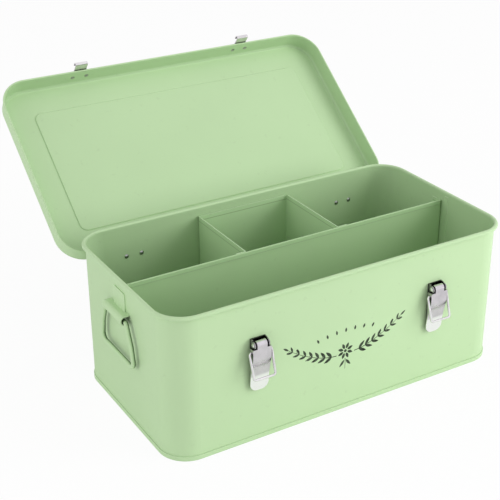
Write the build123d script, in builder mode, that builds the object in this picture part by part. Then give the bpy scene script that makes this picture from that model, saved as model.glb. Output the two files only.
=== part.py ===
from build123d import *
from math import cos, radians, sin
import os

# Pressed-steel seed organizer box: open lid, two draw latches, two side handles, lift-out insert.
# Millimetres. Origin at the centre of the base, +X right, +Y to the hinged rear, +Z up.

# Body
body_length = 350.0
body_width = 182.0
body_height = 140.0
body_corner_radius = 26.0
body_sheet = 0.8
rim_roll_radius = 2.0
base_seam_height = 4.3
base_seam_sheet = 0.9
side_seam_width = 5.0
side_seam_thickness = 0.5
side_seam_forward = 7.0
side_seam_end_gap = 4.0

# Lid, sized round the rim; its places are given for the closed lid
lid_open_angle = 141.7
lid_sheet = 0.8
lid_rest_gap = 0.3
lid_side_clearance = 3.0
lid_skirt_depth = 19.2
lid_corner_radius = 27.0
lid_top_rounding = 4.0
lid_roll_radius = 1.0
lid_panel_inset = 29.5
lid_panel_depth = 1.0
lid_panel_corner_radius = 8.0

# Rivets
rivet_shank_radius = 1.3
rivet_head_radius = 2.3
rivet_head_height = 1.0
rivet_flush_height = 0.4

# Hinges
hinge_end_inset = 56.0
hinge_leaf_width = 30.0
hinge_leaf_corner_radius = 3.0
hinge_sheet = 1.0
hinge_pin_radius = 1.0
hinge_pin_head_radius = 1.7
hinge_pin_head_height = 0.6
hinge_running_clearance = 0.05
hinge_knuckle_radius = 2.0
hinge_knuckle_gap = 0.3
hinge_middle_knuckle = 10.0
hinge_axis_inset = 0.6
hinge_edge_gap = 0.2
hinge_notch_clearance = 0.6
hinge_rivet_spacing = 15.5
hinge_rivet_reach = 12.3
hinge_leaf_margin = 5.0
hinge_joggle_height = 2.5
hinge_bead_clearance = 0.05
hinge_stop_width = 8.0
hinge_stop_drop = 9.3
hinge_stop_gap = 0.3

# Draw latches; "out" is measured from the front wall
latch_end_inset = 81.5
latch_rim_drop = 41.8
latch_pivot_out = 5.0
latch_sheet = 1.0
latch_plate_width = 14.0
latch_plate_rise = 4.2
latch_plate_drop = 40.0
latch_plate_corner_radius = 2.0
latch_ear_width = 14.8
latch_ear_depth = 4.0
latch_ear_radius = 3.4
latch_ear_drop = 5.2
latch_pin_radius = 1.25
latch_pin_head_radius = 2.2
latch_pin_head_height = 0.8
latch_running_clearance = 0.05
latch_rivet_drops = (14.0, 34.0)

# Latch levers, hanging down from the latch pivots
lever_sheet = 0.9
lever_width = 18.0
lever_barrel_radius = 3.4
lever_barrel_width = 9.6
lever_ear_clearance = 0.4
lever_crease_drop = 13.2
lever_crease_out = 7.7
lever_crease_radius = 6.0
lever_waist_drop = 27.0
lever_waist_out = 4.5
lever_waist_radius = 40.0
lever_tongue_drop = 36.0
lever_tongue_out = 3.15
lever_tongue_radius = 20.0
lever_tip_drop = 45.8
lever_tip_out = 2.95
lever_tip_corner_radius = 7.0
lever_flange_margin = 1.0
lever_flange_step_drop = 12.0
lever_flange_foot_drop = 20.0
lever_flange_foot_out = 3.6

# Latch loops: wire bails pivoted in the flanges of the levers
loop_wire_radius = 1.1
loop_pivot_drop = 6.4
loop_running_clearance = 0.05
loop_end_inset = 0.4
loop_shoulder_gap = 0.7
loop_taper = 0.4
loop_bend_radius = 2.2
loop_rest_tilt = 18.0

# Catches on the front skirt of the lid
catch_sheet = 0.9
catch_plate_width = 23.0
catch_plate_height = 9.6
catch_plate_lift = 4.6
catch_corner_radius = 2.0
catch_hook_width = 13.0
catch_bead_clearance = 0.05
catch_joggle_radius = 1.5
catch_channel_radius = 1.6
catch_channel_drop = 6.7
catch_lip_height = 2.9
catch_rivet_spacing = 15.0
catch_rivet_lift = 9.0

# Side handles
handle_out = 4.6
handle_wire_radius = 2.0
handle_rest_clearance = 0.3
handle_end_half_width = 13.5
handle_pivot_half_width = 20.4
handle_pivot_bend_radius = 3.0
handle_shoulder_half_width = 28.5
handle_shoulder_drop = 19.9
handle_shoulder_bend_radius = 12.0
handle_grip_half_width = 31.8
handle_grip_drop = 39.7
handle_grip_bend_radius = 6.0
bracket_rim_drop = 33.0
bracket_sheet = 1.0
bracket_curl_radius = 4.4
bracket_curl_half_width = 18.5
bracket_lip_gap = 1.6
bracket_tab_half_width = 11.0
bracket_tab_rise = 21.0
bracket_tab_corner_radius = 3.0
bracket_bend_radius = 1.2

# Lift-out insert
insert_sheet = 0.8
insert_rim_drop = 9.0
insert_floor_clearance = 0.2
insert_side_clearance = 0.4
insert_end_flange = 12.6
insert_bend_radius = 1.2
hem_height = 4.4
bin_width = 101.0
bin_flange = 10.0
bin_rear_clearance = 0.6

# Derived places
hinge_spacing = body_length - 2 * hinge_end_inset
latch_spacing = body_length - 2 * latch_end_inset
latch_pivot_height = body_height - latch_rim_drop
bracket_height = body_height - bracket_rim_drop
front_y = -body_width / 2
rear_y = body_width / 2
rim_reach = 2 * rim_roll_radius - body_sheet
lid_overhang = rim_reach + lid_side_clearance + lid_sheet
lid_length = body_length + 2 * lid_overhang
lid_width = body_width + 2 * lid_overhang
lid_top_z = body_height + lid_rest_gap + lid_sheet
lid_edge_z = lid_top_z - lid_skirt_depth
lid_roll_reach = 2 * lid_roll_radius - lid_sheet
lid_front_y = -lid_width / 2
lid_rear_y = lid_width / 2
hinge_y = lid_rear_y - hinge_axis_inset
hinge_z = lid_edge_z - hinge_edge_gap - hinge_knuckle_radius
latch_pivot_y = front_y - latch_pivot_out
loop_pivot_z = latch_pivot_height - loop_pivot_drop
catch_y = lid_front_y - lid_roll_reach - catch_bead_clearance - catch_sheet / 2
channel_y = catch_y - catch_channel_radius
channel_z = lid_edge_z - catch_channel_drop
loop_length = ((channel_y - latch_pivot_y) ** 2 + (channel_z - loop_pivot_z) ** 2) ** 0.5

sides = {"left": -1, "right": 1}
hinge_mids = {side: sign * hinge_spacing / 2 for side, sign in sides.items()}
latch_mids = {side: sign * latch_spacing / 2 for side, sign in sides.items()}
hinge_rivet_xs = [
    mid + offset
    for mid in hinge_mids.values()
    for offset in (-hinge_rivet_spacing / 2, hinge_rivet_spacing / 2)
]
catch_rivet_xs = [
    mid + offset
    for mid in latch_mids.values()
    for offset in (-catch_rivet_spacing / 2, catch_rivet_spacing / 2)
]
body_rivet_z = hinge_z - hinge_rivet_reach
lid_rivet_z = hinge_z + hinge_rivet_reach
catch_rivet_z = lid_edge_z + catch_rivet_lift
latch_rivet_zs = [latch_pivot_height - drop for drop in latch_rivet_drops]

lid_back = Vector(0, cos(radians(lid_open_angle)), -sin(radians(lid_open_angle)))
lid_up = Vector(0, sin(radians(lid_open_angle)), cos(radians(lid_open_angle)))
hinge_centre = Vector(0, hinge_y, hinge_z)


def opened(x, y, z):
    """Where a point of the closed lid lies once the lid is open."""
    return hinge_centre + lid_back * (y - hinge_y) + lid_up * (z - hinge_z) + Vector(x, 0, 0)


def lid_level(z):
    """The open lid's level plane at a closed height, in closed x and y."""
    return Plane(origin=opened(0, 0, z), x_dir=(1, 0, 0), z_dir=lid_up)


def lid_section(x):
    """The open lid's upright section at x, in closed y and z."""
    return Plane(origin=opened(x, 0, 0), x_dir=lid_back, z_dir=(1, 0, 0))


def lid_face(y, facing):
    """The open lid's plane at a closed y, facing rear (1) or front (-1), with closed z upwards."""
    return Plane(origin=opened(0, y, 0), x_dir=(-facing, 0, 0), z_dir=lid_back * facing)


def front_section(x):
    """The front wall's upright section at x: out of the wall, and height."""
    return Plane(origin=(x, front_y, 0), x_dir=(0, -1, 0), z_dir=(-1, 0, 0))


def side_section(sign):
    """A side wall's upright section at its middle: out of the wall, and height."""
    return Plane(origin=(sign * body_length / 2, 0, 0), x_dir=(sign, 0, 0), z_dir=(0, -sign, 0))


def save(part, name):
    """Label a finished piece and write it."""
    part.label = name
    export_step(part, f"parts/{name}.step")


def rolled_band(plane, length, width, radius, height, sheet, roll_radius):
    """A band of sheet round a rounded rectangle on a plane, its far edge rolled outwards."""
    half_x = length / 2 - sheet
    half_y = width / 2 - sheet
    with BuildLine(plane) as route:
        FilletPolyline(
            (0, -half_y), (half_x, -half_y), (half_x, half_y), (0, half_y), radius=radius - sheet
        )
    path = route.wire()
    roll_y = height - roll_radius
    neck_y = roll_y - (roll_radius**2 - (roll_radius - sheet) ** 2) ** 0.5
    start = plane.from_local_coords((0, -half_y, 0))
    with BuildPart() as band:
        with BuildSketch(Plane(origin=start, x_dir=-plane.y_dir, z_dir=-plane.x_dir)):
            with BuildLine():
                Line((0, 0), (0, roll_y))
                ThreePointArc((0, roll_y), (2 * roll_radius, roll_y), (sheet, neck_y))
                Line((sheet, neck_y), (sheet, 0))
                Line((sheet, 0), (0, 0))
            make_face()
        sweep(path=path)
        mirror(about=Plane.YZ)
    return band.part


def rounded_block(plane, length, width, radius, height, rounding):
    """A rounded rectangular block on a plane with its far edges rounded over."""
    with BuildPart() as block:
        with BuildSketch(plane):
            RectangleRounded(length, width, radius)
        extrude(amount=height)
        fillet(block.faces().sort_by(Axis(plane.origin, plane.z_dir))[-1].edges(), rounding)
    return block.part


def rivet(seat, grip, shank_radius, head_radius, head_height, tail_height):
    """A rivet whose head sits on a seat plane and whose tail is at the end of its grip."""
    with BuildPart() as one:
        with BuildSketch(Plane(origin=seat.origin, x_dir=seat.x_dir, z_dir=-seat.y_dir)):
            with BuildLine():
                dome = TangentArc((0, head_height), (head_radius, 0), tangent=(1, 0))
                Line(dome @ 1, (shank_radius, 0))
                Line((shank_radius, 0), (shank_radius, -grip))
                Line((shank_radius, -grip), (head_radius, -grip))
                tail = TangentArc((0, -grip - tail_height), (head_radius, -grip), tangent=(1, 0))
                Line(tail @ 0, dome @ 0)
            make_face()
        revolve(axis=Axis(seat.origin, seat.z_dir))
    return one.part


def rivet_set(seats, grip, tail_height):
    """The rivets that hold one set of pieces."""
    pieces = [
        rivet(seat, grip, rivet_shank_radius, rivet_head_radius, rivet_head_height, tail_height)
        for seat in seats
    ]
    with BuildPart() as group:
        add(pieces)
    return group.part


def strip(plane, points, radii, thickness, half_width):
    """A strip of sheet whose bent centre line lies on a plane, spread to both sides of it."""
    with BuildPart() as bent:
        with BuildSketch(plane):
            with BuildLine():
                FilletPolyline(*points, radius=radii)
            trace(line_width=thickness)
        extrude(amount=half_width, both=True)
    return bent.part


def wire(plane, points, radii, wire_radius):
    """A round wire bent along fillets on a plane."""
    with BuildLine(plane) as route:
        FilletPolyline(*points, radius=radii)
    path = route.wire()
    with BuildPart() as bent:
        with BuildSketch(Plane(origin=path @ 0, z_dir=path % 0)):
            Circle(wire_radius)
        sweep(path=path)
    return bent.part


os.makedirs("parts", exist_ok=True)

# Body shell: the four walls in one band of sheet, rolled outwards at the rim
body_band = rolled_band(
    Plane.XY.offset(body_sheet),
    body_length,
    body_width,
    body_corner_radius,
    body_height - body_sheet,
    body_sheet,
    rim_roll_radius,
)
seam_bottom = body_sheet + side_seam_end_gap
seam_top = body_height - 2 * rim_roll_radius
with BuildPart() as body_shell:
    add(body_band)
    with BuildSketch(Plane.YZ.offset(body_length / 2 - body_sheet)):
        with Locations((-side_seam_forward, (seam_bottom + seam_top) / 2)):
            RectangleRounded(side_seam_width, seam_top - seam_bottom, side_seam_thickness)
    extrude(amount=-side_seam_thickness)
    with BuildSketch(Plane.XZ.offset(-rear_y)):
        with Locations(*[(x, body_rivet_z) for x in hinge_rivet_xs]):
            Circle(rivet_shank_radius)
    extrude(amount=body_sheet, mode=Mode.SUBTRACT)
    with BuildSketch(Plane.XZ.offset(-front_y)):
        with Locations(*[(x, z) for x in latch_mids.values() for z in latch_rivet_zs]):
            Circle(rivet_shank_radius)
    extrude(amount=-body_sheet, mode=Mode.SUBTRACT)
save(body_shell.part, "body_shell")

# Bottom pan: a flat floor with its edge turned up and crimped round the foot of the walls
with BuildPart() as bottom_pan:
    with BuildSketch():
        RectangleRounded(
            body_length + 2 * base_seam_sheet,
            body_width + 2 * base_seam_sheet,
            body_corner_radius + base_seam_sheet,
        )
    extrude(amount=base_seam_height)
    fillet(bottom_pan.faces().sort_by(Axis.Z)[0].edges(), 0.5 * base_seam_sheet)
    fillet(bottom_pan.faces().sort_by(Axis.Z)[-1].edges(), 0.4 * base_seam_sheet)
    with BuildSketch(Plane.XY.offset(body_sheet)):
        RectangleRounded(body_length, body_width, body_corner_radius)
    extrude(amount=base_seam_height, mode=Mode.SUBTRACT)
save(bottom_pan.part, "bottom_pan")

# Lid shell: a shallow tray with a rolled free edge and a centre panel pressed inwards
lid_split_z = lid_edge_z + 0.5 * lid_skirt_depth
lid_band = rolled_band(
    Plane(origin=opened(0, 0, lid_split_z), x_dir=(1, 0, 0), z_dir=-lid_up),
    lid_length,
    lid_width,
    lid_corner_radius,
    lid_split_z - lid_edge_z,
    lid_sheet,
    lid_roll_radius,
)
lid_block = rounded_block(
    lid_level(lid_split_z),
    lid_length,
    lid_width,
    lid_corner_radius,
    lid_top_z - lid_split_z,
    lid_top_rounding,
)
lid_hollow = rounded_block(
    lid_level(lid_split_z),
    lid_length - 2 * lid_sheet,
    lid_width - 2 * lid_sheet,
    lid_corner_radius - lid_sheet,
    lid_top_z - lid_sheet - lid_split_z,
    lid_top_rounding - lid_sheet,
)
panel_length = lid_length - 2 * lid_panel_inset
panel_width = lid_width - 2 * lid_panel_inset
with BuildPart() as lid_shell:
    add(lid_block)
    add(lid_hollow, mode=Mode.SUBTRACT)
    with BuildSketch(lid_level(lid_top_z - lid_sheet)):
        RectangleRounded(panel_length, panel_width, lid_panel_corner_radius)
    extrude(amount=-lid_panel_depth, taper=45)
    with BuildSketch(lid_level(lid_top_z)):
        RectangleRounded(
            panel_length - lid_sheet,
            panel_width - lid_sheet,
            lid_panel_corner_radius - lid_sheet / 2,
        )
    extrude(amount=-lid_panel_depth, taper=45, mode=Mode.SUBTRACT)
    add(lid_band)
    with BuildSketch(lid_face(lid_rear_y, 1)):
        with Locations(*[(-x, lid_rivet_z) for x in hinge_rivet_xs]):
            Circle(rivet_shank_radius)
    extrude(amount=-lid_sheet, mode=Mode.SUBTRACT)
    with BuildSketch(lid_face(lid_front_y, -1)):
        with Locations(*[(x, catch_rivet_z) for x in catch_rivet_xs]):
            Circle(rivet_shank_radius)
    extrude(amount=-lid_sheet, mode=Mode.SUBTRACT)
save(lid_shell.part, "lid_shell")

# Hinges: the body leaf has the outer knuckles and a stop tongue, the lid leaf the middle knuckle
knuckle_mid_radius = hinge_knuckle_radius - hinge_sheet / 2
notch_reach = hinge_knuckle_radius + hinge_notch_clearance
body_leaf_y = rear_y + hinge_sheet / 2
body_leaf_bottom = body_rivet_z - hinge_leaf_margin
lid_leaf_y = lid_rear_y + hinge_sheet / 2
lid_leaf_bead_y = lid_rear_y + lid_roll_reach + hinge_bead_clearance + hinge_sheet / 2
lid_leaf_joggle_z = lid_edge_z + 2 * lid_roll_radius + hinge_sheet / 2
lid_leaf_top = lid_rivet_z + hinge_leaf_margin
body_leaf_points = [
    (body_leaf_y, body_leaf_bottom),
    (body_leaf_y, hinge_z - 3 * hinge_knuckle_radius),
    (hinge_y - knuckle_mid_radius, hinge_z - 0.5 * hinge_knuckle_radius),
    (hinge_y - knuckle_mid_radius, hinge_z),
]
lid_leaf_points = [
    (hinge_y + knuckle_mid_radius, hinge_z),
    (lid_leaf_bead_y, hinge_z + notch_reach),
    (lid_leaf_bead_y, lid_leaf_joggle_z),
    (lid_leaf_y, lid_leaf_joggle_z + hinge_joggle_height),
    (lid_leaf_y, lid_leaf_top),
]


def stop_reach(z):
    """How far back a stop tongue goes at a height to stand just clear of the open lid's leaf."""
    face = lid_rear_y + hinge_sheet + hinge_stop_gap - hinge_y
    return hinge_y + (face - lid_back.Z * (z - hinge_z)) / lid_back.Y


stop_top = hinge_z - hinge_stop_drop
for side, mid in hinge_mids.items():
    body_strip = strip(
        Plane.YZ.offset(mid), body_leaf_points, [1.5, 1.0], hinge_sheet, hinge_leaf_width / 2
    )
    with BuildPart() as body_leaf:
        add(body_strip)
        fillet(
            body_leaf.edges().filter_by(Axis.Y).group_by(Axis.Z)[0],
            hinge_leaf_corner_radius,
        )
        with BuildSketch(Plane.YZ.offset(mid - hinge_leaf_width / 2)):
            with Locations((hinge_y, hinge_z)):
                Circle(hinge_knuckle_radius)
        extrude(amount=hinge_leaf_width)
        with BuildSketch(Plane.YZ.offset(mid)):
            with Locations((hinge_y, hinge_z)):
                Rectangle(2 * notch_reach, 2 * notch_reach)
        extrude(
            amount=hinge_middle_knuckle / 2 + hinge_knuckle_gap, both=True, mode=Mode.SUBTRACT
        )
        with BuildSketch(Plane.YZ.offset(mid - hinge_leaf_width / 2)):
            with Locations((hinge_y, hinge_z)):
                Circle(hinge_pin_radius)
        extrude(amount=hinge_leaf_width, mode=Mode.SUBTRACT)
        with BuildSketch(Plane.XZ.offset(-rear_y)):
            with Locations(*[(x, body_rivet_z) for x in hinge_rivet_xs]):
                Circle(rivet_shank_radius)
        extrude(amount=-hinge_sheet, mode=Mode.SUBTRACT)
        with BuildSketch(Plane.YZ.offset(mid - hinge_stop_width / 2)):
            with BuildLine():
                Polyline(
                    (body_leaf_y, stop_top - hinge_sheet),
                    (stop_reach(stop_top - hinge_sheet), stop_top - hinge_sheet),
                    (stop_reach(stop_top), stop_top),
                    (body_leaf_y, stop_top),
                    close=True,
                )
            make_face()
        extrude(amount=hinge_stop_width)
    save(body_leaf.part, f"hinge_body_leaf_{side}")

    lid_strip = strip(
        lid_section(mid), lid_leaf_points, [1.5, 1.5, 1.5], hinge_sheet, hinge_leaf_width / 2
    )
    with BuildPart() as lid_leaf:
        add(lid_strip)
        fillet(
            lid_leaf.edges()
            .filter_by(Axis((0, 0, 0), lid_back))
            .group_by(Axis((0, 0, 0), lid_up))[-1],
            hinge_leaf_corner_radius,
        )
        with BuildSketch(lid_face(hinge_y, 1)):
            with Locations((-mid, hinge_z + notch_reach)):
                Rectangle(hinge_leaf_width, lid_leaf_top - hinge_z, align=(Align.CENTER, Align.MIN))
            with Locations((-mid, hinge_z)):
                Rectangle(hinge_middle_knuckle, lid_leaf_top - hinge_z, align=(Align.CENTER, Align.MIN))
        extrude(amount=lid_leaf_top - hinge_z, both=True, mode=Mode.INTERSECT)
        with BuildSketch(lid_section(mid)):
            with Locations((hinge_y, hinge_z)):
                Circle(hinge_knuckle_radius)
        extrude(amount=hinge_middle_knuckle / 2, both=True)
        with BuildSketch(lid_section(mid)):
            with Locations((hinge_y, hinge_z)):
                Circle(hinge_pin_radius + hinge_running_clearance)
        extrude(amount=hinge_middle_knuckle / 2, both=True, mode=Mode.SUBTRACT)
        with BuildSketch(lid_face(lid_rear_y, 1)):
            with Locations(*[(-x, lid_rivet_z) for x in hinge_rivet_xs]):
                Circle(rivet_shank_radius)
        extrude(amount=hinge_sheet, mode=Mode.SUBTRACT)
    save(lid_leaf.part, f"hinge_lid_leaf_{side}")

    hinge_pin = rivet(
        Plane(origin=(mid + hinge_leaf_width / 2, hinge_y, hinge_z), z_dir=(1, 0, 0)),
        hinge_leaf_width,
        hinge_pin_radius,
        hinge_pin_head_radius,
        hinge_pin_head_height,
        hinge_pin_head_height,
    )
    save(hinge_pin, f"hinge_pin_{side}")

hinge_body_rivets = rivet_set(
    [
        Plane(origin=(x, rear_y + hinge_sheet, body_rivet_z), x_dir=(1, 0, 0), z_dir=(0, 1, 0))
        for x in hinge_rivet_xs
    ],
    hinge_sheet + body_sheet,
    rivet_head_height,
)
save(hinge_body_rivets, "hinge_body_rivets")
hinge_lid_rivets = rivet_set(
    [
        Plane(
            origin=opened(x, lid_rear_y + hinge_sheet, lid_rivet_z),
            x_dir=(1, 0, 0),
            z_dir=lid_back,
        )
        for x in hinge_rivet_xs
    ],
    hinge_sheet + lid_sheet,
    rivet_flush_height,
)
save(hinge_lid_rivets, "hinge_lid_rivets")

# Draw latches: base plate with ears, pivot pin, lever and loop
plate_top = latch_pivot_height + latch_plate_rise
plate_bottom = latch_pivot_height - latch_plate_drop
ear_bottom = latch_pivot_height - latch_ear_drop
ear_swing = latch_ear_radius + lever_ear_clearance
barrel_inner_radius = lever_barrel_radius - lever_sheet
neck_z = latch_pivot_height - (ear_swing**2 - barrel_inner_radius**2) ** 0.5
lever_tip_z = latch_pivot_height - lever_tip_drop
sheet_top_out = latch_pivot_out + lever_barrel_radius - lever_sheet / 2
crease = (lever_crease_out, latch_pivot_height - lever_crease_drop)
waist = (lever_waist_out, latch_pivot_height - lever_waist_drop)
tongue = (lever_tongue_out, latch_pivot_height - lever_tongue_drop)
flange_out = latch_pivot_out - loop_wire_radius - lever_flange_margin
loop_end = lever_width / 2 - lever_sheet - loop_end_inset
loop_shoulder = lever_width / 2 + loop_wire_radius + loop_shoulder_gap
loop_bar = loop_shoulder - loop_taper
tilt_cos = cos(radians(loop_rest_tilt))
tilt_sin = sin(radians(loop_rest_tilt))
for side, mid in latch_mids.items():
    with BuildPart() as latch_base:
        with BuildSketch(Plane.XZ.offset(-front_y)):
            with Locations((mid, (plate_top + plate_bottom) / 2)):
                RectangleRounded(
                    latch_plate_width, plate_top - plate_bottom, latch_plate_corner_radius
                )
            with Locations((mid, (plate_top + ear_bottom) / 2)):
                Rectangle(latch_ear_width, plate_top - ear_bottom)
            with Locations(*[(mid, z) for z in latch_rivet_zs]):
                Circle(rivet_shank_radius, mode=Mode.SUBTRACT)
        extrude(amount=latch_sheet)
        for ear_x, inwards in ((mid - latch_ear_width / 2, -1), (mid + latch_ear_width / 2, 1)):
            with BuildSketch(front_section(ear_x)):
                with Locations((0, ear_bottom)):
                    Rectangle(
                        latch_ear_depth, plate_top - ear_bottom, align=(Align.MIN, Align.MIN)
                    )
                with Locations((latch_pivot_out, latch_pivot_height)):
                    Circle(latch_ear_radius)
                    Circle(latch_pin_radius, mode=Mode.SUBTRACT)
            extrude(amount=inwards * latch_sheet)
    save(latch_base.part, f"latch_base_{side}")

    latch_pin = rivet(
        Plane(
            origin=(mid + latch_ear_width / 2, latch_pivot_y, latch_pivot_height), z_dir=(1, 0, 0)
        ),
        latch_ear_width,
        latch_pin_radius,
        latch_pin_head_radius,
        latch_pin_head_height,
        latch_pin_head_height,
    )
    save(latch_pin, f"latch_pin_{side}")

    lever_strip = strip(
        front_section(mid),
        [
            (sheet_top_out, latch_pivot_height),
            (sheet_top_out, neck_z),
            crease,
            waist,
            tongue,
            (lever_tip_out, lever_tip_z),
        ],
        [8, lever_crease_radius, lever_waist_radius, lever_tongue_radius],
        lever_sheet,
        lever_width / 2,
    )
    with BuildPart() as latch_lever:
        add(lever_strip)
        for flange_x, inwards in ((mid - lever_width / 2, -1), (mid + lever_width / 2, 1)):
            with BuildSketch(front_section(flange_x)):
                with BuildLine():
                    Polyline(
                        (sheet_top_out, neck_z),
                        crease,
                        waist,
                        tongue,
                        (lever_flange_foot_out, latch_pivot_height - lever_flange_foot_drop),
                        (flange_out, latch_pivot_height - lever_flange_step_drop),
                        (flange_out, neck_z),
                        close=True,
                    )
                make_face()
            extrude(amount=inwards * lever_sheet)
        with BuildSketch(Plane.XZ.offset(-front_y)):
            with Locations((mid, lever_tip_z)):
                RectangleRounded(
                    lever_width,
                    lever_width,
                    lever_tip_corner_radius,
                    align=(Align.CENTER, Align.MIN),
                )
            with Locations((mid, lever_tip_z + lever_tip_corner_radius)):
                Rectangle(
                    lever_width,
                    neck_z - lever_tip_z - lever_tip_corner_radius,
                    align=(Align.CENTER, Align.MIN),
                )
                Rectangle(
                    lever_barrel_width,
                    latch_pivot_height - lever_tip_z - lever_tip_corner_radius,
                    align=(Align.CENTER, Align.MIN),
                )
        extrude(amount=latch_pivot_out + 2 * lever_barrel_radius, mode=Mode.INTERSECT)
        with BuildSketch(front_section(mid)):
            with Locations((latch_pivot_out, latch_pivot_height)):
                Circle(lever_barrel_radius)
        extrude(amount=lever_barrel_width / 2, both=True)
        with BuildSketch(front_section(mid)):
            with Locations((latch_pivot_out, latch_pivot_height)):
                Circle(latch_pin_radius + latch_running_clearance)
            with Locations((latch_pivot_out, loop_pivot_z)):
                Circle(loop_wire_radius + loop_running_clearance)
        extrude(amount=lever_width / 2, both=True, mode=Mode.SUBTRACT)
    save(latch_lever.part, f"latch_lever_{side}")

    latch_loop = wire(
        Plane(
            origin=(mid, latch_pivot_y, loop_pivot_z),
            x_dir=(1, 0, 0),
            z_dir=(0, tilt_cos, -tilt_sin),
        ),
        [
            (loop_end, 0),
            (loop_shoulder, 0),
            (loop_bar, loop_length),
            (-loop_bar, loop_length),
            (-loop_shoulder, 0),
            (-loop_end, 0),
        ],
        loop_bend_radius,
        loop_wire_radius,
    )
    save(latch_loop, f"latch_loop_{side}")

latch_base_rivets = rivet_set(
    [
        Plane(origin=(x, front_y - latch_sheet, z), x_dir=(1, 0, 0), z_dir=(0, -1, 0))
        for x in latch_mids.values()
        for z in latch_rivet_zs
    ],
    latch_sheet + body_sheet,
    rivet_head_height,
)
save(latch_base_rivets, "latch_base_rivets")

# Catches: a plate riveted to the skirt, joggled over the bead and turned up into a hook
catch_plate_y = lid_front_y - catch_sheet / 2
catch_plate_z = lid_edge_z + catch_plate_lift
catch_top = catch_plate_z + catch_plate_height
joggle_z = lid_edge_z + 2 * lid_roll_radius + catch_sheet / 2
lip_y = channel_y - catch_channel_radius
for side, mid in latch_mids.items():
    with BuildPart() as lid_catch:
        with BuildSketch(lid_section(mid)):
            with BuildLine():
                FilletPolyline(
                    (catch_plate_y, catch_top),
                    (catch_plate_y, catch_plate_z + catch_sheet),
                    (catch_y, joggle_z),
                    (catch_y, channel_z),
                    radius=catch_joggle_radius,
                )
                ThreePointArc(
                    (catch_y, channel_z),
                    (channel_y, channel_z - catch_channel_radius),
                    (lip_y, channel_z),
                )
                Line((lip_y, channel_z), (lip_y, channel_z + catch_lip_height))
            trace(line_width=catch_sheet)
        extrude(amount=catch_plate_width / 2, both=True)
        with BuildSketch(lid_face(lid_front_y, -1)):
            with Locations((mid, catch_plate_z + catch_plate_height / 2)):
                RectangleRounded(catch_plate_width, catch_plate_height, catch_corner_radius)
            with Locations((mid, catch_top - catch_corner_radius)):
                Rectangle(
                    catch_hook_width,
                    catch_top - channel_z + 2 * catch_channel_radius,
                    align=(Align.CENTER, Align.MAX),
                )
            with Locations(*[(x, catch_rivet_z) for x in catch_rivet_xs]):
                Circle(rivet_shank_radius, mode=Mode.SUBTRACT)
        extrude(amount=lid_front_y - lip_y + catch_sheet, both=True, mode=Mode.INTERSECT)
    save(lid_catch.part, f"lid_catch_{side}")

lid_catch_rivets = rivet_set(
    [
        Plane(
            origin=opened(x, lid_front_y - catch_sheet, catch_rivet_z),
            x_dir=(1, 0, 0),
            z_dir=-lid_back,
        )
        for x in catch_rivet_xs
    ],
    catch_sheet + lid_sheet,
    rivet_flush_height,
)
save(lid_catch_rivets, "lid_catch_rivets")

# Side handles: a wire bail that hangs in a curled strap welded to each end wall
curl_mid_radius = bracket_curl_radius - bracket_sheet / 2
curl_top = bracket_height + curl_mid_radius
curl_bottom = bracket_height - curl_mid_radius
curl_face = handle_out + curl_mid_radius
curl_bend_radius = 0.97 * curl_mid_radius
tab_top = bracket_height + bracket_tab_rise
curl_inner_radius = bracket_curl_radius - bracket_sheet
handle_z = bracket_height - curl_inner_radius + handle_wire_radius + handle_rest_clearance
for side, sign in sides.items():
    bracket_strip = strip(
        side_section(sign),
        [
            (bracket_sheet / 2, tab_top),
            (bracket_sheet / 2, curl_top),
            (curl_face, curl_top),
            (curl_face, curl_bottom),
            (bracket_lip_gap, curl_bottom),
        ],
        [bracket_bend_radius, curl_bend_radius, curl_bend_radius],
        bracket_sheet,
        bracket_curl_half_width,
    )
    with BuildPart() as handle_bracket:
        add(bracket_strip)
        with BuildSketch(Plane.YZ.offset(sign * body_length / 2)):
            with Locations((0, bracket_height)):
                Rectangle(2 * bracket_curl_half_width, 2 * bracket_curl_radius)
            with Locations((0, (tab_top + bracket_height) / 2)):
                RectangleRounded(
                    2 * bracket_tab_half_width, tab_top - bracket_height, bracket_tab_corner_radius
                )
        extrude(amount=sign * (curl_face + bracket_sheet), mode=Mode.INTERSECT)
    save(handle_bracket.part, f"handle_bracket_{side}")

    side_handle = wire(
        Plane.YZ.offset(sign * (body_length / 2 + handle_out)),
        [
            (-handle_end_half_width, handle_z),
            (-handle_pivot_half_width, handle_z),
            (-handle_shoulder_half_width, handle_z - handle_shoulder_drop),
            (-handle_grip_half_width, handle_z - handle_grip_drop),
            (handle_grip_half_width, handle_z - handle_grip_drop),
            (handle_shoulder_half_width, handle_z - handle_shoulder_drop),
            (handle_pivot_half_width, handle_z),
            (handle_end_half_width, handle_z),
        ],
        [
            handle_pivot_bend_radius,
            handle_shoulder_bend_radius,
            handle_grip_bend_radius,
            handle_grip_bend_radius,
            handle_shoulder_bend_radius,
            handle_pivot_bend_radius,
        ],
        handle_wire_radius,
    )
    save(side_handle, f"side_handle_{side}")

# Lift-out insert: a hemmed divider across the box, with a U-shaped centre bin behind it
insert_bottom = body_sheet + insert_floor_clearance
insert_top = body_height - insert_rim_drop
insert_height = insert_top - insert_bottom
divider_end = body_length / 2 - body_sheet - insert_side_clearance - insert_sheet / 2
hem_half_length = divider_end - 2 * insert_bend_radius
with BuildPart() as long_divider:
    with BuildSketch(Plane.XY.offset(insert_bottom)):
        with BuildLine():
            FilletPolyline(
                (-divider_end, insert_end_flange),
                (-divider_end, 0),
                (divider_end, 0),
                (divider_end, insert_end_flange),
                radius=insert_bend_radius,
            )
        trace(line_width=insert_sheet)
    extrude(amount=insert_height - insert_sheet)
    with BuildSketch(Plane.YZ):
        with Locations((-insert_sheet / 2, insert_top - insert_sheet)):
            Circle(insert_sheet)
            Rectangle(2 * insert_sheet, hem_height - insert_sheet, align=(Align.CENTER, Align.MAX))
    extrude(amount=hem_half_length, both=True)
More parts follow.
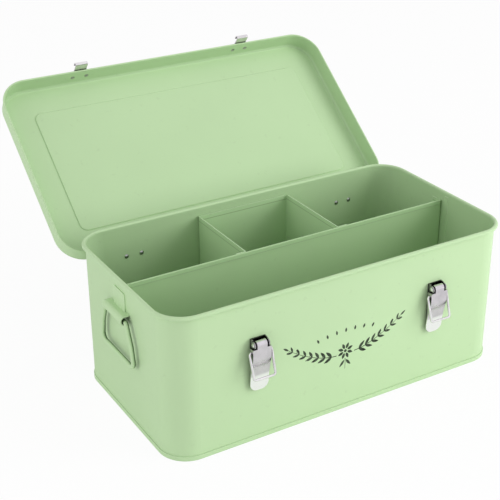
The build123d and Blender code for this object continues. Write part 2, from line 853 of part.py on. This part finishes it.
save(long_divider.part, "long_divider")

bin_wall_x = bin_width / 2 - insert_sheet / 2
bin_back_y = rear_y - body_sheet - bin_rear_clearance - insert_sheet / 2
with BuildPart() as centre_bin:
    with BuildSketch(Plane.XY.offset(insert_bottom)):
        with BuildLine():
            FilletPolyline(
                (-bin_wall_x - bin_flange, insert_sheet),
                (-bin_wall_x, insert_sheet),
                (-bin_wall_x, bin_back_y),
                (bin_wall_x, bin_back_y),
                (bin_wall_x, insert_sheet),
                (bin_wall_x + bin_flange, insert_sheet),
                radius=insert_bend_radius,
            )
        trace(line_width=insert_sheet)
    extrude(amount=insert_height)
save(centre_bin.part, "centre_bin")
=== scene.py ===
import math

import bmesh
import bpy
from mathutils import Matrix, Vector


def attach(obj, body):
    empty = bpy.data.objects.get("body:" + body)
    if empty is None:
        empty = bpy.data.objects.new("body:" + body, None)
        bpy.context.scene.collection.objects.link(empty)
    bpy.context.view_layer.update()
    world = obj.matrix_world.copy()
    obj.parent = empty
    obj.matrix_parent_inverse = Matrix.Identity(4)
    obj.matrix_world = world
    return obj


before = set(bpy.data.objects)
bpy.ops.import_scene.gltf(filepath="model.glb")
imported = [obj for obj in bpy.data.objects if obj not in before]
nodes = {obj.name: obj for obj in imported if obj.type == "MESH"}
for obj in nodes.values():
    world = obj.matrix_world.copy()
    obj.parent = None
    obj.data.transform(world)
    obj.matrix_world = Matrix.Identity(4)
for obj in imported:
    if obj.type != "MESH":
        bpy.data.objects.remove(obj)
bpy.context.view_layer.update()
MM = 0.001


# ---------------------------------------------------------------- material helpers

def new_material(name):
    """An empty node material with its output; returns the material, its tree and the output."""
    mat = bpy.data.materials.new(name)
    mat.use_nodes = True
    tree = mat.node_tree
    tree.nodes.clear()
    out = tree.nodes.new("ShaderNodeOutputMaterial")
    return mat, tree, out


def link(tree, a, b):
    tree.links.new(a, b)


def math_node(tree, op, a, b=None):
    n = tree.nodes.new("ShaderNodeMath")
    n.operation = op
    for socket, value in ((n.inputs[0], a), (n.inputs[1], b)):
        if value is None:
            continue
        if isinstance(value, (int, float)):
            socket.default_value = value
        else:
            link(tree, value, socket)
    return n.outputs[0]


def noise(tree, coord, scale, detail=2.0, rough=0.5, stretch=(1, 1, 1), distortion=0.0):
    m = tree.nodes.new("ShaderNodeMapping")
    m.inputs["Scale"].default_value = stretch
    link(tree, coord, m.inputs["Vector"])
    n = tree.nodes.new("ShaderNodeTexNoise")
    n.inputs["Scale"].default_value = scale
    n.inputs["Detail"].default_value = detail
    n.inputs["Roughness"].default_value = rough
    n.inputs["Distortion"].default_value = distortion
    link(tree, m.outputs[0], n.inputs["Vector"])
    return n.outputs["Fac"]


def ramp(tree, fac, stops):
    r = tree.nodes.new("ShaderNodeValToRGB")
    els = r.color_ramp.elements
    while len(els) < len(stops):
        els.new(0.5)
    for el, (pos, col) in zip(els, stops):
        el.position = pos
        el.color = (*col, 1.0) if len(col) == 3 else col
    link(tree, fac, r.inputs["Fac"])
    return r.outputs["Color"]


def ramp_value(tree, fac, low, high):
    """0 below low, 1 above high, smooth between (or the other way round if low is above high)."""
    n = tree.nodes.new("ShaderNodeMapRange")
    n.interpolation_type = "SMOOTHSTEP"
    n.inputs["From Min"].default_value = min(low, high)
    n.inputs["From Max"].default_value = max(low, high)
    n.inputs["To Min"].default_value = 0.0 if low < high else 1.0
    n.inputs["To Max"].default_value = 1.0 if low < high else 0.0
    link(tree, fac, n.inputs["Value"])
    return n.outputs["Result"]


def grey(v):
    return (v, v, v)


def mix_colour(tree, fac, a, b, mode="MIX"):
    n = tree.nodes.new("ShaderNodeMix")
    n.data_type = "RGBA"
    n.blend_type = mode
    if isinstance(fac, (int, float)):
        n.inputs[0].default_value = fac
    else:
        link(tree, fac, n.inputs[0])
    for socket, value in ((n.inputs[6], a), (n.inputs[7], b)):
        if isinstance(value, tuple):
            socket.default_value = (*value, 1.0)
        else:
            link(tree, value, socket)
    return n.outputs[2]


def bump(tree, height, strength, distance, normal=None):
    b = tree.nodes.new("ShaderNodeBump")
    b.inputs["Strength"].default_value = strength
    b.inputs["Distance"].default_value = distance
    link(tree, height, b.inputs["Height"])
    if normal is not None:
        link(tree, normal, b.inputs["Normal"])
    return b.outputs["Normal"]


def object_coord(tree):
    return tree.nodes.new("ShaderNodeTexCoord").outputs["Object"]


# ---------------------------------------------------------------- materials

def facing_in(tree, centre):
    """1 on the walls that face the middle of a tray or box, 0 outside it."""
    where = tree.nodes.new("ShaderNodeTexCoord")
    away = tree.nodes.new("ShaderNodeVectorMath")
    away.operation = "SUBTRACT"
    link(tree, where.outputs["Object"], away.inputs[0])
    away.inputs[1].default_value = centre
    dot = tree.nodes.new("ShaderNodeVectorMath")
    dot.operation = "DOT_PRODUCT"
    link(tree, where.outputs["Normal"], dot.inputs[0])
    link(tree, away.outputs[0], dot.inputs[1])
    return ramp_value(tree, dot.outputs["Value"], -0.03, -0.06)


def edge_mask(tree, radius):
    """1 along folds and sheet edges, 0 on the open faces."""
    rounded = tree.nodes.new("ShaderNodeBevel")
    rounded.samples = 6
    rounded.inputs["Radius"].default_value = radius
    geo = tree.nodes.new("ShaderNodeNewGeometry")
    dot = tree.nodes.new("ShaderNodeVectorMath")
    dot.operation = "DOT_PRODUCT"
    link(tree, rounded.outputs["Normal"], dot.inputs[0])
    link(tree, geo.outputs["Normal"], dot.inputs[1])
    return ramp_value(tree, dot.outputs["Value"], 0.99, 0.82)


def paint_material(name, base, gloss=0.42, seed=0.0, middle=None, occlusion_shade_range=None, hem_line=None):
    """Smooth semi-gloss paint on sheet steel: faint mottling, orange peel and specks; edges coloured
    lighter as painted highlight with some wear; optional painted shade on inward walls, under the hem and
    in crevices.
    """
    mat, tree, out = new_material(name)
    coord = object_coord(tree)
    bsdf = tree.nodes.new("ShaderNodeBsdfPrincipled")
    bsdf.inputs["Specular IOR Level"].default_value = 0.36
    bsdf.inputs["Coat Weight"].default_value = 0.05
    bsdf.inputs["Coat Roughness"].default_value = 0.3
    broad = noise(tree, coord, 6.0 + seed, 3.0, 0.55)
    fine = noise(tree, coord, 140.0 + seed, 4.0, 0.6)
    darker = tuple(c * 0.985 for c in base)
    lighter = tuple(min(1.0, c * 1.012) for c in base)
    tint = mix_colour(tree, ramp_value(tree, broad, 0.35, 0.65), darker, lighter)
    speck = ramp_value(tree, fine, 0.36, 0.30)
    tint = mix_colour(tree, math_node(tree, "MULTIPLY", speck, 0.10), tint, (0.30, 0.40, 0.22))
    # painted highlight with some wear: edges and folds are coloured lighter, a little more where the scuff
    # noise is high
    edge = edge_mask(tree, 0.0009)
    scuffs_and_highlight = ramp_value(tree, noise(tree, coord, 60.0 + seed, 5.0, 0.65), 0.30, 0.62)
    scuffs_and_highlight = math_node(tree, "ADD", math_node(tree, "MULTIPLY", scuffs_and_highlight, 0.25), 0.35)
    edge_wear_and_highlight = math_node(tree, "MULTIPLY", edge, scuffs_and_highlight)
    tint = mix_colour(tree, edge_wear_and_highlight, tint, (0.80, 0.93, 0.72))
    # painted shade: walls that face the middle of the box or lid are coloured darker
    if middle is not None:
        shade = math_node(tree, "MULTIPLY", facing_in(tree, middle), INSIDE_PAINTED_SHADE)
        tint = mix_colour(tree, shade, tint, (0.02, 0.10, 0.01))
    # painted shade: a dark line coloured just under the hem's fold
    if hem_line is not None:
        place = tree.nodes.new("ShaderNodeSeparateXYZ")
        link(tree, coord, place.inputs[0])
        off = math_node(tree, "ABSOLUTE", math_node(tree, "SUBTRACT", place.outputs["Z"], hem_line))
        line = math_node(tree, "MULTIPLY", ramp_value(tree, off, 0.0006, 0.0002), 0.45)
        tint = mix_colour(tree, line, tint, (0.10, 0.20, 0.06))
    # painted shade: places found by ambient occlusion are coloured darker
    if occlusion_shade_range is not None:
        occlusion = tree.nodes.new("ShaderNodeAmbientOcclusion")
        occlusion.samples = 8
        occlusion.inputs["Distance"].default_value = 0.014
        occlusion_shade = ramp_value(tree, occlusion.outputs["AO"], *occlusion_shade_range)
        tint = mix_colour(tree, math_node(tree, "MULTIPLY", occlusion_shade, 0.9), tint, (0.03, 0.08, 0.02))
    link(tree, tint, bsdf.inputs["Base Color"])
    smear = noise(tree, coord, 22.0 + seed, 4.0, 0.6, (1, 1, 2.5), 0.6)
    rough = ramp(tree, smear, [(0.3, grey(gloss - 0.015)), (0.7, grey(gloss + 0.02))])
    link(tree, rough, bsdf.inputs["Roughness"])
    peel = noise(tree, coord, 620.0, 2.0, 0.5)
    link(tree, bump(tree, peel, 0.06, 0.0001), bsdf.inputs["Normal"])
    link(tree, bsdf.outputs[0], out.inputs["Surface"])
    return mat


def metal_material(name, base, rough_low, rough_high, grain=(1, 1, 1), grain_scale=900.0, grain_bump=0.05,
                   shadow=0.0, highlight_below=None):
    """Bare or plated steel: polish streaks, fingerprints and tiny pits, with painted shade in its folds and
    an optional painted highlight below a height.
    """
    mat, tree, out = new_material(name)
    coord = object_coord(tree)
    bsdf = tree.nodes.new("ShaderNodeBsdfPrincipled")
    bsdf.inputs["Metallic"].default_value = 1.0
    cloud = noise(tree, coord, 90.0, 4.0, 0.6)
    darker = tuple(c * 0.86 for c in base)
    tint = mix_colour(tree, ramp_value(tree, cloud, 0.35, 0.7), base, darker)
    pits = ramp_value(tree, noise(tree, coord, 1500.0, 2.0, 0.5), 0.30, 0.24)
    tint = mix_colour(tree, math_node(tree, "MULTIPLY", pits, 0.5), tint, tuple(c * 0.35 for c in base))
    # painted highlight: below the given height the colour is lifted to near white
    if highlight_below is not None:
        place = tree.nodes.new("ShaderNodeSeparateXYZ")
        link(tree, coord, place.inputs[0])
        painted_highlight = ramp_value(tree, place.outputs["Z"], highlight_below + 0.002, highlight_below - 0.002)
        tint = mix_colour(tree, painted_highlight, tint, (0.98, 0.97, 0.98))
    # painted shade: folds found by ambient occlusion are coloured near black
    if shadow:
        occlusion = tree.nodes.new("ShaderNodeAmbientOcclusion")
        occlusion.samples = 8
        occlusion.inputs["Distance"].default_value = 0.006
        occlusion_shade = ramp_value(tree, occlusion.outputs["AO"], 0.95, 0.45)
        tint = mix_colour(tree, math_node(tree, "MULTIPLY", occlusion_shade, shadow), tint, (0.012, 0.011, 0.013))
    link(tree, tint, bsdf.inputs["Base Color"])
    streak = noise(tree, coord, grain_scale, 3.0, 0.6, grain)
    rough = ramp(tree, streak, [(0.3, grey(rough_low)), (0.75, grey(rough_high))])
    link(tree, rough, bsdf.inputs["Roughness"])
    link(tree, bump(tree, streak, grain_bump, 0.0001), bsdf.inputs["Normal"])
    link(tree, bsdf.outputs[0], out.inputs["Surface"])
    return mat


GREEN = (0.545, 0.742, 0.436)
INSIDE_PAINTED_SHADE = 0.17  # painted shade: how much darker the walls that face inwards are coloured
INSERT_GREEN = (0.46, 0.655, 0.365)
BOX_MIDDLE = (0, 0, 0.07)
LID_MIDDLE = (0, 0.1833, 0.1681)
HEM_LINE = 0.1266  # height of the fold line under the hem of the insert, where a dark line is painted as shade
TONGUE_TOP = 0.0675  # height below which the levers are coloured near white as a painted highlight
# the box and lid paints carry painted shade on their inward-facing walls; the insert paint a painted shade
# line under its hem
paint = paint_material("paint_box", GREEN, middle=BOX_MIDDLE)
paint_lid = paint_material("paint_lid", GREEN, seed=0.7, middle=LID_MIDDLE)
paint_insert = paint_material("paint_insert", INSERT_GREEN, gloss=0.46, seed=1.9, hem_line=HEM_LINE)
# painted shade on the handle where it hangs by the wall, and in the bracket's roll
paint_handle = paint_material("paint_handle", GREEN, seed=3.1, occlusion_shade_range=(0.88, 0.40))
paint_bracket = paint_material("paint_bracket", GREEN, seed=4.3, occlusion_shade_range=(0.36, 0.10))
NICKEL = (0.80, 0.77, 0.80)
PLATE_GRAIN = ((1, 1, 0.08), 1100.0, 0.04)
nickel = metal_material("nickel_plate", NICKEL, 0.10, 0.22, *PLATE_GRAIN, shadow=0.9)
# the latch base is a much darker copy of the nickel plate: painted shade
nickel_base_painted_shade = metal_material("nickel_base_painted_shade", (0.42, 0.40, 0.43), 0.12, 0.26, *PLATE_GRAIN, shadow=1.0)
# the lever is a little darker copy of the nickel plate: painted shade
nickel_lever = metal_material(
    "nickel_lever", (0.72, 0.68, 0.73), 0.14, 0.26, *PLATE_GRAIN, shadow=0.55, highlight_below=TONGUE_TOP
)
# the wire is a little lighter copy of the nickel plate: painted highlight
nickel_wire = metal_material("nickel_wire", (0.86, 0.84, 0.86), 0.10, 0.22, (1, 1, 1), 900.0, 0.05, 0.9)
steel = metal_material("rivet_steel", (0.40, 0.40, 0.41), 0.22, 0.38, (1, 1, 1), 700.0, 0.08, 1.0)

node_materials = {
    "body_shell": paint,
    "bottom_pan": paint,
    "lid_shell": paint_lid,
    "long_divider": paint_insert,
    "centre_bin": paint_insert,
    "hinge_body_rivets": steel,
    "hinge_lid_rivets": steel,
    "lid_catch_rivets": steel,
    "latch_base_rivets": steel,
}
for side in ("left", "right"):
    node_materials[f"handle_bracket_{side}"] = paint_bracket
    node_materials[f"side_handle_{side}"] = paint_handle
    node_materials[f"hinge_body_leaf_{side}"] = nickel
    node_materials[f"hinge_lid_leaf_{side}"] = nickel
    node_materials[f"hinge_pin_{side}"] = steel
    node_materials[f"latch_base_{side}"] = nickel_base_painted_shade
    node_materials[f"latch_pin_{side}"] = nickel_wire
    node_materials[f"latch_lever_{side}"] = nickel_lever
    node_materials[f"latch_loop_{side}"] = nickel_wire
    node_materials[f"lid_catch_{side}"] = nickel
for name, mat in node_materials.items():
    mesh = nodes[name].data
    mesh.materials.clear()
    mesh.materials.append(mat)


# ---------------------------------------------------------------- printed garland on the front

def ink_material():
    """Dark screen-printed ink: uneven cover, small gaps where it has rubbed."""
    mat, tree, out = new_material("garland_ink")
    coord = object_coord(tree)
    bsdf = tree.nodes.new("ShaderNodeBsdfPrincipled")
    bsdf.inputs["Specular IOR Level"].default_value = 0.3
    cover = ramp_value(tree, noise(tree, coord, 260.0, 3.0, 0.6), 0.62, 0.74)
    tint = mix_colour(tree, ramp_value(tree, noise(tree, coord, 45.0, 2.0), 0.3, 0.7),
                      (0.030, 0.045, 0.026), (0.052, 0.074, 0.044))
    tint = mix_colour(tree, math_node(tree, "MULTIPLY", cover, 0.35), tint, GREEN)
    link(tree, tint, bsdf.inputs["Base Color"])
    rough = ramp(tree, noise(tree, coord, 120.0, 2.0), [(0.3, grey(0.46)), (0.7, grey(0.60))])
    link(tree, rough, bsdf.inputs["Roughness"])
    link(tree, bump(tree, noise(tree, coord, 900.0, 2.0), 0.08, 0.00008), bsdf.inputs["Normal"])
    link(tree, bsdf.outputs[0], out.inputs["Surface"])
    return mat


class Print:
    """Flat closed shapes, drawn in millimetres (x, z) on the front wall."""

    def __init__(self, name, wall, thickness=0.05):
        self.name, self.wall, self.thickness = name, wall, thickness
        self.bm = bmesh.new()

    def shape(self, outline):
        front = [self.bm.verts.new((x * MM, (self.wall - self.thickness) * MM, z * MM)) for x, z in outline]
        back = [self.bm.verts.new((x * MM, self.wall * MM, z * MM)) for x, z in outline]
        self.bm.faces.new(front)
        self.bm.faces.new(back[::-1])
        for i in range(len(outline)):
            j = (i + 1) % len(outline)
            self.bm.faces.new((front[j], front[i], back[i], back[j]))

    def line(self, points, width):
        """A ribbon along the points, tapering to a third of its width at its far end."""
        left, right = [], []
        last = len(points) - 1
        for i, (x, z) in enumerate(points):
            (ax, az), (bx, bz) = points[max(i - 1, 0)], points[min(i + 1, last)]
            run = math.hypot(bx - ax, bz - az)
            half = 0.5 * width * (1 - 0.66 * i / last)
            left.append((x - half * (bz - az) / run, z + half * (bx - ax) / run))
            right.append((x + half * (bz - az) / run, z - half * (bx - ax) / run))
        self.shape(left + right[::-1])

    def leaf(self, x, z, angle, length, width, bend=0.0):
        upper, lower = [], []
        steps = 14
        for i in range(steps + 1):
            t = i / steps
            half = 0.5 * width * math.sin(math.pi * t) ** 0.8 * (1 - 0.25 * t)
            rise = bend * length * t * t
            upper.append((t * length, rise + half))
            lower.append((t * length, rise - half))
        outline = upper + lower[-2:0:-1]
        ca, sa = math.cos(angle), math.sin(angle)
        self.shape([(x + u * ca - v * sa, z + u * sa + v * ca) for u, v in outline])

    def disc(self, x, z, radius, sides=20):
        turns = [2 * math.pi * i / sides for i in range(sides)]
        self.shape([(x + radius * math.cos(a), z + radius * math.sin(a)) for a in turns])

    def finish(self, body, mat):
        bmesh.ops.recalc_face_normals(self.bm, faces=self.bm.faces)
        mesh = bpy.data.meshes.new(self.name)
        self.bm.to_mesh(mesh)
        self.bm.free()
        mesh.materials.append(mat)
        piece = bpy.data.objects.new(self.name, mesh)
        bpy.context.scene.collection.objects.link(piece)
        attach(piece, body)
        return piece


def sprig(ink, side, x0, z0, reach, rise, leaves, leaf_length, leaf_width, stem):
    """One arm of the garland: a rising stem with paired leaves, berries and a leaf at its tip."""
    def at(t):
        return x0 + side * reach * t, z0 + rise * t ** 1.7

    ink.line([at(i / 24) for i in range(25)], stem)
    for k in range(leaves):
        t = 0.10 + 0.82 * k / (leaves - 1)
        (ax, az), (bx, bz) = at(t), at(t + 0.02)
        slope = math.atan2(bz - az, (bx - ax) * side)
        size = 1.0 - 0.38 * t
        for turn in (0.78, -0.70):
            angle = slope + turn
            angle = angle if side > 0 else math.pi - angle
            bend = 0.10 * side * (1 if turn < 0 else -1)
            ink.leaf(ax, az, angle, leaf_length * size, leaf_width * size, bend)
        (cx, cz) = at(t + 0.055)
        tall = slope + (1.15 if k % 2 else -1.15)
        tall = tall if side > 0 else math.pi - tall
        tip = (cx + 4.6 * size * math.cos(tall), cz + 4.6 * size * math.sin(tall))
        ink.line([(cx, cz), ((cx + tip[0]) / 2, (cz + tip[1]) / 2), tip], 0.35)
        ink.disc(tip[0], tip[1], 0.85 * size + 0.15)
    (ax, az), (bx, bz) = at(0.98), at(1.0)
    end = math.atan2(bz - az, (bx - ax) * side)
    ink.leaf(bx, bz, end if side > 0 else math.pi - end, leaf_length * 0.7, leaf_width * 0.62)


FRONT_WALL = -91.0  # millimetres, as all of the garland


def front_garland():
    """Two leafy sprigs, a daisy and a row of seeds between the latches."""
    dark = ink_material()
    ink = Print("front_garland", FRONT_WALL)
    centre = -3.0
    for side in (-1, 1):
        sprig(ink, side, centre + side * 9.5, 57.5, 50.0, 21.0, 7, 9.4, 3.5, 0.8)
    for k in range(8):
        turn = math.pi * (k / 4 + 0.125)
        ink.leaf(centre + 2.3 * math.cos(turn), 60.0 + 2.3 * math.sin(turn), turn, 6.0, 3.3)
    ink.disc(centre, 60.0, 1.5)
    for side in (-1, 1):
        turn = -math.pi / 2 + side * 0.55
        ink.leaf(centre + side * 1.0, 51.0, turn, 8.0, 2.9, 0.12 * side)
    ink.line([(centre, 52.5), (centre + 0.2, 47.0), (centre, 41.5)], 0.7)
    for k in range(-3, 4):
        lean = math.pi / 2 - k * 0.16
        ink.leaf(centre + 9.4 * k, 79.0 - 0.32 * k * k, lean, 4.6, 2.3)
    ink.finish("box", dark)


front_garland()


# ---------------------------------------------------------------- stage, light and camera

FLOOR_WHITE = 0.97
FLOOR_GLOW = 0.94  # share of the floor that is plain white to the camera
SOFT_LEVEL = 0.58  # light from all round


def stage_floor():
    """A pale floor that keeps the shadow of the box."""
    mesh = bpy.data.meshes.new("floor")
    size = 6.0
    mesh.from_pydata(
        [(-size, -size, 0), (size, -size, 0), (size, size, 0), (-size, size, 0)], [], [(0, 1, 2, 3)]
    )
    floor = bpy.data.objects.new("floor", mesh)
    bpy.context.scene.collection.objects.link(floor)
    mat, tree, out = new_material("floor_paper")
    diffuse = tree.nodes.new("ShaderNodeBsdfDiffuse")
    diffuse.inputs["Color"].default_value = (FLOOR_WHITE, FLOOR_WHITE, FLOOR_WHITE, 1)
    glow = tree.nodes.new("ShaderNodeEmission")
    glow.inputs["Color"].default_value = (1, 1, 1, 1)
    glow.inputs["Strength"].default_value = 1.0
    path = tree.nodes.new("ShaderNodeLightPath")
    seen = math_node(tree, "MULTIPLY", path.outputs["Is Camera Ray"], FLOOR_GLOW)
    mix = tree.nodes.new("ShaderNodeMixShader")
    link(tree, seen, mix.inputs[0])
    link(tree, diffuse.outputs[0], mix.inputs[1])
    link(tree, glow.outputs[0], mix.inputs[2])
    link(tree, mix.outputs[0], out.inputs["Surface"])
    mesh.materials.append(mat)


def world_light():
    """Soft light from all round, which the camera and reflections see as white."""
    world = bpy.data.worlds.new("studio")
    bpy.context.scene.world = world
    world.use_nodes = True
    tree = world.node_tree
    tree.nodes.clear()
    out = tree.nodes.new("ShaderNodeOutputWorld")
    soft = tree.nodes.new("ShaderNodeBackground")
    soft.inputs["Color"].default_value = (1, 1, 1, 1)
    soft.inputs["Strength"].default_value = SOFT_LEVEL
    white = tree.nodes.new("ShaderNodeBackground")
    white.inputs["Color"].default_value = (1, 1, 1, 1)
    white.inputs["Strength"].default_value = 1.0
    path = tree.nodes.new("ShaderNodeLightPath")
    seen = math_node(tree, "MAXIMUM", path.outputs["Is Camera Ray"], path.outputs["Is Glossy Ray"])
    seen = math_node(tree, "MAXIMUM", seen, path.outputs["Is Transmission Ray"])
    mix = tree.nodes.new("ShaderNodeMixShader")
    link(tree, seen, mix.inputs[0])
    link(tree, soft.outputs[0], mix.inputs[1])
    link(tree, white.outputs[0], mix.inputs[2])
    link(tree, mix.outputs[0], out.inputs["Surface"])


def area_light(name, location, target, size, power):
    """A soft lamp that lights the box and is not itself seen in reflections."""
    data = bpy.data.lights.new(name, "AREA")
    data.shape = "RECTANGLE"
    data.size, data.size_y = size
    data.energy = power
    lamp = bpy.data.objects.new(name, data)
    bpy.context.scene.collection.objects.link(lamp)
    lamp.location = location
    lamp.visible_glossy = False
    way = Vector(target) - Vector(location)
    lamp.rotation_euler = way.to_track_quat("-Z", "Y").to_euler()
    return lamp


def photo_camera():
    """The camera at the photograph's place; the lens is its focal length for 500 pixels across."""
    yaw, pitch, roll = 0.536, 0.459, 0.005
    ahead = Vector((math.sin(yaw) * math.cos(pitch), math.cos(yaw) * math.cos(pitch), -math.sin(pitch)))
    right = Vector((math.cos(yaw), -math.sin(yaw), 0))
    down = ahead.cross(right)
    across = math.cos(roll) * right + math.sin(roll) * down
    below = math.cos(roll) * down - math.sin(roll) * right
    data = bpy.data.cameras.new("photo_camera")
    data.sensor_width = 36.0
    data.lens = 36.0 * 1131.342 / 500
    data.clip_start = 0.01
    data.clip_end = 30.0
    camera = bpy.data.objects.new("photo_camera", data)
    bpy.context.scene.collection.objects.link(camera)
    turn = Matrix((across, -below, -ahead)).transposed().to_4x4()
    camera.matrix_world = Matrix.Translation((-0.510969, -0.782558, 0.581475)) @ turn
    bpy.context.scene.camera = camera


stage_floor()
world_light()
area_light("right_front_soft", (1.25, -1.15, 0.65), (0, 0, 0.1), (1.1, 1.1), 16.0)
area_light("left_soft", (-1.9, 0.1, 0.7), (0, 0, 0.1), (1.2, 1.2), 9.0)
area_light("high_right_soft", (1.1, -1.1, 1.5), (0, 0, 0.1), (1.2, 1.2), 3.0)
photo_camera()
bpy.context.scene.view_settings.view_transform = "Standard"
